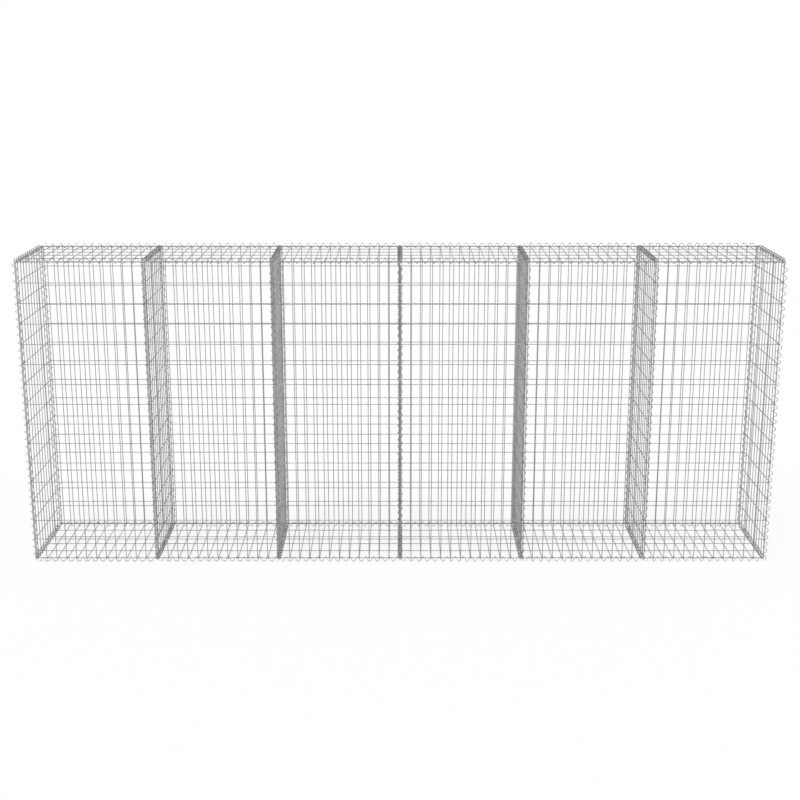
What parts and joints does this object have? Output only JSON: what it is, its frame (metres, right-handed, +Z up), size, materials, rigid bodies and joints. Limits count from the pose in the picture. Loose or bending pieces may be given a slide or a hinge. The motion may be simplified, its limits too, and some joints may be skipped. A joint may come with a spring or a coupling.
{
  "type": "gabion wall cage",
  "caption": "Empty gabion wall of welded wire mesh baskets set side by side, with floors, lids and dividers, laced together at every edge by spiral wires.",
  "frame": {"origin": "middle of the footprint, on the level that the lowest spirals rest on", "axes": "+X runs along the wall from bay to bay, -Y is the front and +Y the back, +Z is up"},
  "size_m": [3.6914, 0.545, 1.5375],
  "materials": {
    "mesh_wire": "zinc-coated welded steel wire, dull silver grey",
    "spiral_wire": "zinc-coated spring wire, dull silver grey"
  },
  "bodies": {
    "root": {"front_panel_1": "mesh_wire", "front_panel_2": "mesh_wire", "front_panel_3": "mesh_wire", "front_panel_4": "mesh_wire", "front_panel_5": "mesh_wire", "front_panel_6": "mesh_wire", "back_panel_1": "mesh_wire", "back_panel_2": "mesh_wire", "back_panel_3": "mesh_wire", "back_panel_4": "mesh_wire", "back_panel_5": "mesh_wire", "back_panel_6": "mesh_wire", "floor_panel_1": "mesh_wire", "floor_panel_2": "mesh_wire", "floor_panel_3": "mesh_wire", "floor_panel_4": "mesh_wire", "floor_panel_5": "mesh_wire", "floor_panel_6": "mesh_wire", "lid_panel_1": "mesh_wire", "lid_panel_2": "mesh_wire", "lid_panel_3": "mesh_wire", "lid_panel_4": "mesh_wire", "lid_panel_5": "mesh_wire", "lid_panel_6": "mesh_wire", "left_end_panel": "mesh_wire", "right_end_panel": "mesh_wire", "divider_panel_1": "mesh_wire", "divider_panel_2": "mesh_wire", "divider_panel_3": "mesh_wire", "divider_panel_4": "mesh_wire", "divider_panel_5": "mesh_wire", "front_upright_spirals": "spiral_wire", "back_upright_spirals": "spiral_wire", "bottom_front_spirals": "spiral_wire", "bottom_back_spirals": "spiral_wire", "top_front_spirals": "spiral_wire", "top_back_spirals": "spiral_wire", "bottom_cross_spirals": "spiral_wire", "top_cross_spirals": "spiral_wire"}
  },
  "joints": []
}
